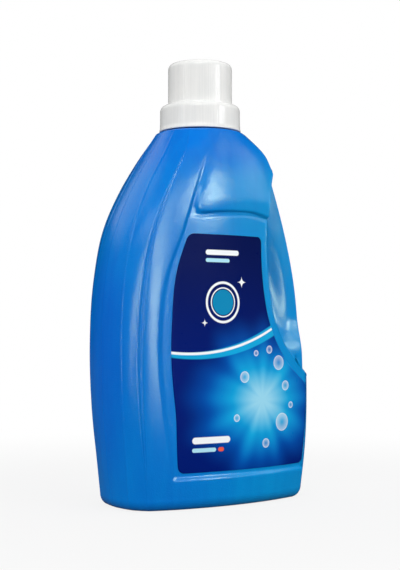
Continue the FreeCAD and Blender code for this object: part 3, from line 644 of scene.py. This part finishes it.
def label_grid(z, columns):
    """Points of the film's face, spread evenly between both edges.

    They lie on the circle of the front face, with its radius less the film's depth.
    """
    share = z / SHOULDER_Z
    e = edges(share)
    fade = 1 - (1 - BOW_KEPT) * step(z, BOW_FADE_Z, LABEL_TOP_Z)
    bow = LABEL_BOW * step(z, LABEL_FOOT_Z, BOW_FULL_Z) * fade
    left = LABEL_MARGIN + bow - along(C_X, share) + corner_pull(z)
    by_grip = crease_x(z, LABEL_GRIP_MARGIN)
    right = soft_min(along(G_X, share) - LABEL_EDGE_GAP, by_grip, GRIP_CORNER) - corner_pull(z)
    x = left[:, None] + (right - left)[:, None] * np.linspace(0, 1, columns)
    centre, radius = circle(e["c"], e["f"], e["g"])
    away = np.stack([x - centre[:, :1], np.sqrt(radius[:, None]**2 - (x - centre[:, :1])**2)], -1)
    moved = centre[:, None] + away * (1 - (RECESS + PARTING_RIDGE - FILM + BEDDED) / radius)[:, None, None]
    return np.stack([moved[..., 0], -moved[..., 1], np.broadcast_to(z[:, None], x.shape)], -1)


corner = LABEL_CORNER * (1 - np.cos(np.linspace(0, np.pi / 2, 9)))
label_z = np.concatenate([LABEL_FOOT_Z + corner, np.linspace(LABEL_FOOT_Z + 5, LABEL_TOP_Z - 5, 90),
                          LABEL_TOP_Z - corner[::-1]])
film = label_grid(label_z, 80)
rows, columns = film.shape[:2]
place = np.arange(rows * columns).reshape(rows, columns)
film_quads = quads_between(place[:, :-1], place[:, 1:])
label = mesh_object("label_film", film.reshape(-1, 3), film_quads, np.empty((0, 3), int))
flat = film.reshape(-1, 3)[film_quads.ravel()][:, [0, 2]] / UV_MM + np.array([0.5, 0.0])
label.data.uv_layers.new(name="print").data.foreach_set("uv", flat.astype(np.float32).ravel())
thickness = label.modifiers.new("film", "SOLIDIFY")
thickness.thickness, thickness.offset = FILM * MM, -1
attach(label, "bottle")
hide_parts("front_label")

# %% [markdown]
# ## The cap
# The cap is injection-moulded in two tiers, with a soft edge on both, a faint lip at its foot and fine
# upright lines that the mould left. It is one closed surface of revolution with the thread inside. A
# bump could fake the low lines, but as geometry they also break the outline of the highlights.

# %% Cap profile
FLANGE_T, SEAL_T, SEAL_GAP = 1.0, 1.0, 0.1
CAP_SEAT = NECK_TOP + FLANGE_T + SEAL_T + 2 * SEAL_GAP
CAP_BORE_R, CAP_WALL, CAP_SKIRT_WALL, CAP_SKIRT_FLARE = 21.85, 1.5, 2.4, 0.5
CAP_TOWER_R, CAP_EDGE, CAP_GAP = 19.4, 3.4, 0.8
FLUTE, LINES, DRIFT = 0.05, 90, 0.9  # depth, number and unevenness of the mould's upright lines
foot_z_cap = SHOULDER_Z + CAP_GAP
tier_z = CAP_SEAT + CAP_WALL
skirt_r = CAP_BORE_R + CAP_SKIRT_WALL
lip_r = skirt_r + CAP_SKIRT_FLARE


def rounded(radius, z, size, count):
    """(radius, z) points of a quarter round at the top of a wall, from its side to its flat top."""
    t = np.radians(np.linspace(0.0, 90.0, count))
    return np.stack([radius - size * (1 - np.cos(t)), z - size * (1 - np.sin(t))], 1)


tower_r, roof_z = CAP_TOWER_R - CAP_WALL, CAP_TOP - CAP_WALL
inside_profile = np.array([
    (0.4, roof_z), (tower_r - 1.5, roof_z), (tower_r - 0.4, roof_z - 0.4), (tower_r, roof_z - 1.5),
    (tower_r, CAP_SEAT + 0.2), (tower_r + 0.2, CAP_SEAT),
    (CAP_BORE_R - 0.3, CAP_SEAT), (CAP_BORE_R, CAP_SEAT - 0.3)])
bore_z = np.arange(CAP_SEAT - 0.6, foot_z_cap + 0.3, -0.3)
bore_profile = np.stack([np.full(len(bore_z), CAP_BORE_R), bore_z], 1)
foot_profile = np.array([
    (CAP_BORE_R + 0.3, foot_z_cap), (lip_r - 0.35, foot_z_cap), (lip_r - 0.08, foot_z_cap + 0.1),
    (lip_r, foot_z_cap + 0.4), (lip_r, foot_z_cap + 0.9), (lip_r - 0.1, foot_z_cap + 1.2),
    (lip_r - 0.3, foot_z_cap + 1.5)])
climb = np.linspace(0.15, 1.0, 8)
skirt_profile = np.stack([skirt_r + (CAP_SKIRT_FLARE - 0.3) * (1 - climb)**2,
                          foot_z_cap + 1.5 + (tier_z - CAP_EDGE - foot_z_cap - 1.5) * climb], 1)
tower_profile = np.concatenate([
    rounded(skirt_r, tier_z, CAP_EDGE, 12)[1:], [(CAP_TOWER_R + 0.7, tier_z + 0.02)],
    [(CAP_TOWER_R + 0.25, tier_z + 0.12), (CAP_TOWER_R + 0.02, tier_z + 0.5)],
    np.stack([np.full(10, CAP_TOWER_R), np.linspace(tier_z + 1.0, CAP_TOP - CAP_EDGE, 10)], 1),
    rounded(CAP_TOWER_R, CAP_TOP, CAP_EDGE, 12)[1:],
    [(r, CAP_TOP) for r in (15, 12, 8, 4, 0.4)]])
profile = np.concatenate([inside_profile, bore_profile, foot_profile, skirt_profile, tower_profile])
print("cap profile:", len(profile), "points,", round(2 * lip_r, 1), "mm across")

# %% Cap surface
# Each line is a raised cosine to the third power. A sum of eight sines, each scaled by 1 / sqrt(count),
# shifts the lines and makes some of them fainter.
angle = np.linspace(0, 2 * np.pi, 720, endpoint=False)
count = np.arange(1, 9)[:, None]
drift = (np.sin(7 * count * angle + 1.7 * count**2) / count**0.5).sum(0)
lines = (0.5 + 0.5 * np.cos(LINES * angle + DRIFT * drift))**3 * (0.55 + 0.25 * np.tanh(drift))
radius = np.repeat(profile[:, :1], len(angle), axis=1)
row = np.arange(len(profile)) - len(inside_profile)
bore = (row >= 0) & (row < len(bore_profile))
walls = (row >= len(bore_profile) + len(foot_profile) - 1) & (profile[:, 0] > CAP_TOWER_R - 1.2)
radius = radius - FLUTE * lines * walls[:, None]
ridge_up = THREAD_BASE / 2 + 0.4  # start of the thread over the cap's foot
ridge_z = foot_z_cap + ridge_up
ridge_angle = 2 * np.pi * (ridge_up - (THREAD_START - THREAD_LEAD / 2 - CAP_GAP)) / THREAD_LEAD
radius = radius - thread(angle, profile[:, 1][:, None], ridge_z, ridge_angle) * bore[:, None]
cap = closed_grid("screw_cap", revolved(radius, profile[:, 1], angle))
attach(cap, "cap")
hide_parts("cap")

# %% [markdown]
# ## Materials
# Nodes work out every finish from Object coordinates, or from the label's UV map. A small class lets
# the patterns be written as formulas: each sum, product or step becomes one node.

# %% Formula helper
class Field:
    """A number that a shader works out at every place, with operators that add Math nodes."""

    def __init__(self, socket):
        self.socket, self.tree = socket, socket.id_data

    def math(self, kind, *others):
        """One Math node of this kind, fed with this field and the others."""
        return Field(add_node(self.tree, "Math", dict(enumerate((self,) + others)), operation=kind)[0])

    # sum, difference, product and the larger of two
    def __add__(self, other):
        return self.math("ADD", other)

    def __sub__(self, other):
        return self.math("SUBTRACT", other)

    def __mul__(self, other):
        return self.math("MULTIPLY", other)

    def most(self, other):
        return self.math("MAXIMUM", other)

    def step(self, low, high, start=0.0, end=1.0):
        """start below low, end above high, and a smooth step between them."""
        inputs = {"Value": self, "From Min": low, "From Max": high, "To Min": start, "To Max": end}
        return Field(add_node(self.tree, "MapRange", inputs, interpolation_type="SMOOTHSTEP")[0])


def add_node(tree, kind, inputs, **settings):
    """Outputs of a new node, whose inputs are linked to fields or sockets or set to values."""
    node = tree.nodes.new("ShaderNode" + kind)
    for key, value in settings.items():
        setattr(node, key, value)
    for key, value in inputs.items():
        value = value.socket if isinstance(value, Field) else value
        if isinstance(value, bpy.types.NodeSocket):
            tree.links.new(value, node.inputs[key])
        else:
            node.inputs[key].default_value = value
    return node.outputs


def linear(red, green, blue):
    """Linear colour of an sRGB colour in 0 to 255."""
    c = np.array([red, green, blue]) / 255
    return tuple(np.where(c <= 0.04045, c / 12.92, ((c + 0.055) / 1.055)**2.4).tolist()) + (1.0,)


def finish(name, color, roughness, **settings):
    """A material with its Principled shader, whose constants sit on the shader's own sockets."""
    material = bpy.data.materials.new(name)
    material.use_nodes = True
    shader = material.node_tree.nodes["Principled BSDF"]
    shader.inputs["Base Color"].default_value = color
    shader.inputs["Roughness"].default_value = roughness
    for key, value in settings.items():
        shader.inputs[key.replace("_", " ")].default_value = value
    return material, material.node_tree, shader


def place_on(tree, stretch=(1, 1, 1), uv=False):
    """Object coordinates in millimetres, or the label's UV map, times a stretch."""
    source = add_node(tree, "TexCoord", {})["UV" if uv else "Object"]
    scale = stretch if uv else [1000 * s for s in stretch]
    return add_node(tree, "Mapping", {"Vector": source, "Scale": scale})[0]


def axes(vector):
    """The x, y and z of a vector, as fields."""
    return [Field(output) for output in add_node(vector.id_data, "SeparateXYZ", {0: vector})]


def noise(vector, scale, detail=3.0):
    """Smooth noise between 0 and 1, with scale waves to a millimetre and detail finer layers."""
    inputs = {"Vector": vector, "Scale": scale, "Detail": detail}
    return Field(add_node(vector.id_data, "TexNoise", inputs)["Fac"])


def mixed(share, first, second):
    """The colour between first and second at the share, where each may be a colour or a socket."""
    return add_node(share.tree, "Mix", {0: share, 6: first, 7: second}, data_type="RGBA")[2]


def bumped(shader, height, distance, strength=1.0):
    """Height in millimetres drives the shader's bump."""
    inputs = {"Strength": strength, "Distance": distance * MM, "Height": height}
    height.tree.links.new(add_node(height.tree, "Bump", inputs)[0], shader.inputs["Normal"])


def painted(shader, color, roughness=None):
    """A colour, and a roughness where there is one, drive the shader."""
    shader.id_data.links.new(color, shader.inputs["Base Color"])
    if roughness is not None:
        shader.id_data.links.new(roughness.socket, shader.inputs["Roughness"])


def dress(obj, material):
    """Give the object this material and no other."""
    obj.data.materials.clear()
    obj.data.materials.append(material)
    print(obj.name, "wears", material.name)


# %% Blue polyethylene of the body
# The blue is graded with painted light and shade: deep at the left end, light towards the right and
# deep again at the neck, where the grading starts further right. It paints the shade on the left side and the
# neck, and the light on the front.
LEFT_END, BELLY, NECK_ZONE = (-71.0, -61.0), (-45.0, 30.0), (188.0, 212.0)  # across, across and up
LEFT_SHARE, BELLY_SHARE, NECK_SHARE, NECK_SHIFT = 0.4, 0.6, 0.2, 38.0
hdpe, tree, shader = finish("blue_hdpe", linear(0, 120, 213), 0.18, Specular_IOR_Level=0.4,
                            Specular_Tint=(0.8, 1.0, 0.55, 1.0))
here = place_on(tree)
flow = noise(place_on(tree, (1, 1, 0.06)), 0.22)
cloud = noise(here, 0.045)
peel = noise(here, 1.25, 2.0)
ripple = noise(here, 0.12, 1.0)
tint = (flow * 0.6 + cloud * 0.4).step(0.3, 0.7)
x_here, _, z_here = axes(here)
neck = z_here.step(*NECK_ZONE)
shifted = x_here - neck * NECK_SHIFT
# painted light and shade: the share of the light blue grows towards the right and falls at the neck and the
# left end
painted_light_share = x_here.step(*LEFT_END) * LEFT_SHARE + shifted.step(*BELLY) * BELLY_SHARE - neck * NECK_SHARE
# the painted shade blue and the painted light blue, each with a random tone
painted_shade_blue = mixed(tint, linear(0, 97, 205), linear(0, 105, 209))
painted_light_blue = mixed(tint, linear(0, 138, 210), linear(0, 145, 214))
painted(shader, mixed(painted_light_share, painted_shade_blue, painted_light_blue), peel * 0.06 + 0.135)
bumped(shader, peel * 0.12 + ripple * 0.06, 1.0, 0.8)
dress(bottle, hdpe)

# %% White polypropylene of the cap
pp, tree, shader = finish("white_pp", linear(225, 225, 223), 0.22, Specular_IOR_Level=0.18)
here = place_on(tree)
cloud = noise(here, 0.06)
grain = noise(here, 2.2, 2.0)
streak = noise(place_on(tree, (1, 1, 0.04)), 0.7)
tint = (cloud * 0.5 + streak * 0.5).step(0.3, 0.7)
white = mixed(tint, linear(221, 222, 221), linear(229, 229, 227))
painted(shader, white, grain * 0.1 + 0.14)
bumped(shader, grain * 0.02 + streak * 0.03, 1.0, 0.5)
dress(cap, pp)

# %% Milky polyethylene of the pouring insert
pe, tree, shader = finish("milky_pe", linear(226, 232, 236), 0.38, Specular_IOR_Level=0.4,
                          Transmission_Weight=0.12)
here = place_on(tree)
cloud, grain = noise(here, 0.12), noise(here, 1.6)
milk = mixed(cloud.step(0.35, 0.65), linear(216, 224, 230), linear(234, 238, 240))
painted(shader, milk, grain * 0.16 + 0.3)
bumped(shader, grain, 0.03, 0.4)
dress(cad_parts["pour_insert"], pe)

# %% Foam of the seal
foam, tree, shader = finish("seal_foam", linear(214, 214, 210), 0.75, Specular_IOR_Level=0.2)
pore = Field(add_node(tree, "TexVoronoi", {"Vector": place_on(tree), "Scale": 3.5})["Distance"])
painted(shader, mixed(pore.step(0.1, 0.6), linear(196, 196, 192), linear(226, 226, 222)))
bumped(shader, pore, 0.08, 0.6)
dress(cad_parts["cap_seal"], foam)

# %% [markdown]
# ## The print
# The print is generic: a navy field that lights up towards the foot, with soft rays, a sweeping pale
# band, two rings, two sparkles, bubbles and plain bars. Each shape is a distance from its edge at each
# place of the label, and a smooth step across the edge turns it into ink.

# %% Places and shapes on the label
ink, tree, shader = finish("printed_film", linear(0, 30, 120), 0.3, Specular_IOR_Level=0.03)
across, up, _ = axes(place_on(tree, (UV_MM, UV_MM, 1), uv=True))
across = across - UV_MM / 2
EDGE = 0.22  # softness of a printed edge


def disc(x, z, radius, squash=1.0):
    """Distance outside a disc: the way from its centre, squashed in height, less its radius."""
    dx, dz = across - x, (up - z) * squash
    return (dx * dx + dz * dz).math("SQRT") - radius


def bar(x, z, half_width, half_height):
    """Distance outside a bar with round ends: the way from its middle line, less half its height."""
    dx = ((across - x).math("ABSOLUTE") - (half_width - half_height)).most(0.0)
    dz = up - z
    return (dx * dx + dz * dz).math("SQRT") - half_height


def inked(distance):
    """1 inside a shape and 0 outside it, with a smooth step across its edge."""
    return distance.step(-EDGE, EDGE, 1.0, 0.0)


# %% Fields of colour
NAVY, DEEP, BLUE = linear(0, 27, 112), linear(0, 16, 78), linear(0, 92, 190)
CYAN, PALE, WHITE = linear(20, 176, 226), linear(176, 228, 244), linear(244, 248, 250)
CORAL = linear(236, 92, 70)
GLOW_X, GLOW_Z = 24.0, 62.0
glow = disc(GLOW_X, GLOW_Z, 0.0, 1.15)
bearing = (up - GLOW_Z).math("ARCTAN2", across - GLOW_X)
# three sines of the bearing make uneven rays
rays = ((bearing * 9.0 + 0.6).math("SINE") * 0.5 + (bearing * 16.0 + 2.1).math("SINE") * 0.3
        + (bearing * 5.0 + 4.0).math("SINE") * 0.4)
reach = glow - rays * 5.0
color = mixed(up.step(70, 165), NAVY, DEEP)
color = mixed(reach.step(26, 62, 1.0, 0.0), color, BLUE)
color = mixed(reach.step(12, 44, 1.0, 0.0), color, CYAN)
color = mixed((glow - rays * 2.0).step(2, 24, 0.75, 0.0), color, PALE)
band = up - (across * across * 0.004 + across * 0.22 + 92.0)  # height over a parabola
color = mixed((band.math("ABSOLUTE") - (across * 0.03 + 2.6)).step(-0.4, 0.6, 0.85, 0.0), color, CYAN)
color = mixed(((band - 1.2).math("ABSOLUTE") - 0.7).step(-0.2, 0.3, 1.0, 0.0), color, WHITE)

# %% Rings, bars, sparkles and bubbles
RINGS_X, RINGS_Z, BULGE = -6.0, 120.0, 0.5  # a power below 1 bends a sparkle's sides in
for radius, width in ((11.5, 0.7), (8.4, 0.35)):
    color = mixed(inked(disc(RINGS_X, RINGS_Z, radius).math("ABSOLUTE") - width), color, WHITE)
color = mixed(inked(disc(RINGS_X, RINGS_Z, 7.4)) * 0.55, color, CYAN)
for x, z, half_width, half_height, shade in (
        (-6.0, 149.0, 12.0, 1.5, WHITE), (-9.5, 144.4, 8.5, 1.1, PALE), (-14.0, 40.0, 13.0, 1.9, WHITE),
        (-19.0, 34.4, 8.0, 1.2, PALE), (-7.5, 34.4, 2.0, 1.2, CORAL)):
    color = mixed(inked(bar(x, z, half_width, half_height)), color, shade)
for x, z, size in ((8.0, 132.0, 5.0), (-19.0, 108.0, 3.4)):
    arms = ((across - x).math("ABSOLUTE").math("POWER", BULGE)
            + (up - z).math("ABSOLUTE").math("POWER", BULGE))
    color = mixed(arms.step(0.8 * size**BULGE, 0.92 * size**BULGE, 1.0, 0.0), color, WHITE)
for x, z, radius in ((38, 84, 4.2), (30, 92, 2.2), (44, 70, 2.8), (10, 76, 3.2), (41, 48, 5.2), (27, 36, 2.6),
                     (4, 52, 2.0), (49, 58, 1.8), (19, 90, 1.6)):
    bubble = disc(float(x), float(z), float(radius))
    color = mixed(bubble.step(-radius, 0.0, 0.05, 0.4) * inked(bubble), color, WHITE)
    color = mixed(inked(bubble.math("ABSOLUTE") - 0.16) * 0.8, color, WHITE)
here = place_on(tree)
painted(shader, color, noise(here, 0.25, 2.0) * 0.12 + 0.24)
bumped(shader, noise(here, 0.07, 1.0), 0.25, 0.3)
dress(label, ink)
print("label nodes:", len(tree.nodes))

# %% [markdown]
# ## Stage, light and camera
# The bottle stands on a plain pale floor in front of white. For camera rays the floor is mostly white
# light of strength 1, and the rest is lit, so that it keeps a soft shadow. Three soft lamps only shade:
# the key, above and a little to the right, and a fill on each side. Gloss mirrors lamps as patches, so
# eight more are only mirrored, each for one highlight: the front, the pad, the ribs, the rear left rim,
# the side facet, the right side, and two narrow ones for the cap's upright strips.

# %% Floor and world
FLOOR, FLOOR_MIRRORED = 6.0, 0.05
floor_mesh = bpy.data.meshes.new("floor")
floor_mesh.from_pydata([(-FLOOR, -FLOOR, 0), (FLOOR, -FLOOR, 0), (FLOOR, FLOOR, 0), (-FLOOR, FLOOR, 0)],
                       [], [(0, 1, 2, 3)])
floor = new_object("floor", floor_mesh)
BOUNCE, SHOWN = (0.2, 0.2, 0.2, 1), (0.5, 0.5, 0.5, 1)  # the floor's colour in bounces and seen
pale, tree, shader = finish("pale_floor", SHOWN, 0.9, Specular_IOR_Level=0.0)
GLOW_R, GLOW_LEAST = (150.0, 520.0), 0.84  # it glows less near the bottle
path = add_node(tree, "LightPath", {})
seen, mirrored = Field(path["Is Camera Ray"]), Field(path["Is Glossy Ray"])
away = Field(add_node(tree, "VectorMath", {0: place_on(tree)}, operation="LENGTH")["Value"])
far = away.step(*GLOW_R, GLOW_LEAST, 1.0)
painted(shader, mixed(seen, BOUNCE, SHOWN))
glowing = add_node(tree, "Emission", {"Strength": mirrored * (FLOOR_MIRRORED - 1) + 1.0})[0]
blend = add_node(tree, "MixShader", {0: (seen * far).most(mirrored), 1: shader.outputs[0], 2: glowing})[0]
tree.links.new(blend, tree.nodes["Material Output"].inputs[0])
floor.data.materials.append(pale)

scene.world = world = scene.world or bpy.data.worlds.new("studio")
world.use_nodes = True
sky = world.node_tree.nodes["Background"]
sky.inputs["Color"].default_value = (1, 1, 1, 1)
sky.inputs["Strength"].default_value = 1.0
world.cycles_visibility.glossy = False

# %% Lamps
AIM = np.array([0, 0, 0.125])


def lamp(name, azimuth, elevation, distance, width, height, power, mirrored):
    """A soft lamp seen from the piece under an azimuth (0 in front, 90 on the right) and an elevation.

    It is only mirrored, or it only shades.
    """
    a, b = math.radians(azimuth), math.radians(elevation)
    toward = np.array([math.sin(a) * math.cos(b), -math.cos(a) * math.cos(b), math.sin(b)])
    data = bpy.data.lights.new(name, "AREA")
    data.shape, data.size, data.size_y, data.energy = "RECTANGLE", width, height, power
    obj = new_object(name, data)
    obj.visible_diffuse, obj.visible_glossy = not mirrored, mirrored
    obj.location = AIM + toward * distance
    obj.rotation_euler = (math.pi / 2 - b, 0, a)


SHADING = [
    ("key", 14, 42, 0.8, 0.45, 0.45, 1.5),
    ("fill_left", -58, 12, 1.5, 0.8, 0.8, 7),
    ("fill_right", 60, 15, 1.5, 0.8, 0.8, 3)]
MIRRORED = [
    ("key_glow", 0, 1, 1.5, 0.44, 0.36, 7),
    ("pad_glow", 31, 18, 1.5, 0.38, 0.34, 9),
    ("rib_glow", -36, 38, 1.5, 0.9, 0.8, 15),
    ("rim_left", -155, 34, 1.5, 1.0, 0.7, 1.8),
    ("facet_glow", -104, 34, 1.5, 0.5, 0.4, 1.4),
    ("glow_right", 62, 22, 1.5, 0.6, 0.26, 1.1),
    ("strip_right", 8, 15, 1.4, 0.07, 0.5, 2),
    ("strip_left", -84, 12, 1.4, 0.07, 0.9, 5)]
for row in SHADING + MIRRORED:
    lamp(*row, mirrored=row in MIRRORED)
print("lamps:", len(SHADING), "shade,", len(MIRRORED), "are mirrored")

# %% Camera
LENS_AZIMUTH, LENS_DISTANCE, LENS_HEIGHT = math.radians(-33), 0.753, 0.1062
camera_data = bpy.data.cameras.new("camera")
camera_data.lens = 78.06
camera_data.shift_y = 0.0719
camera = new_object("camera", camera_data)
camera.location = (NECK_X * MM + LENS_DISTANCE * math.sin(LENS_AZIMUTH),
                   -LENS_DISTANCE * math.cos(LENS_AZIMUTH), LENS_HEIGHT)
camera.rotation_euler = (math.pi / 2, 0, LENS_AZIMUTH)
scene.camera = camera
scene.view_settings.view_transform = "Standard"
print("camera at", [round(value, 3) for value in camera.location], "m")
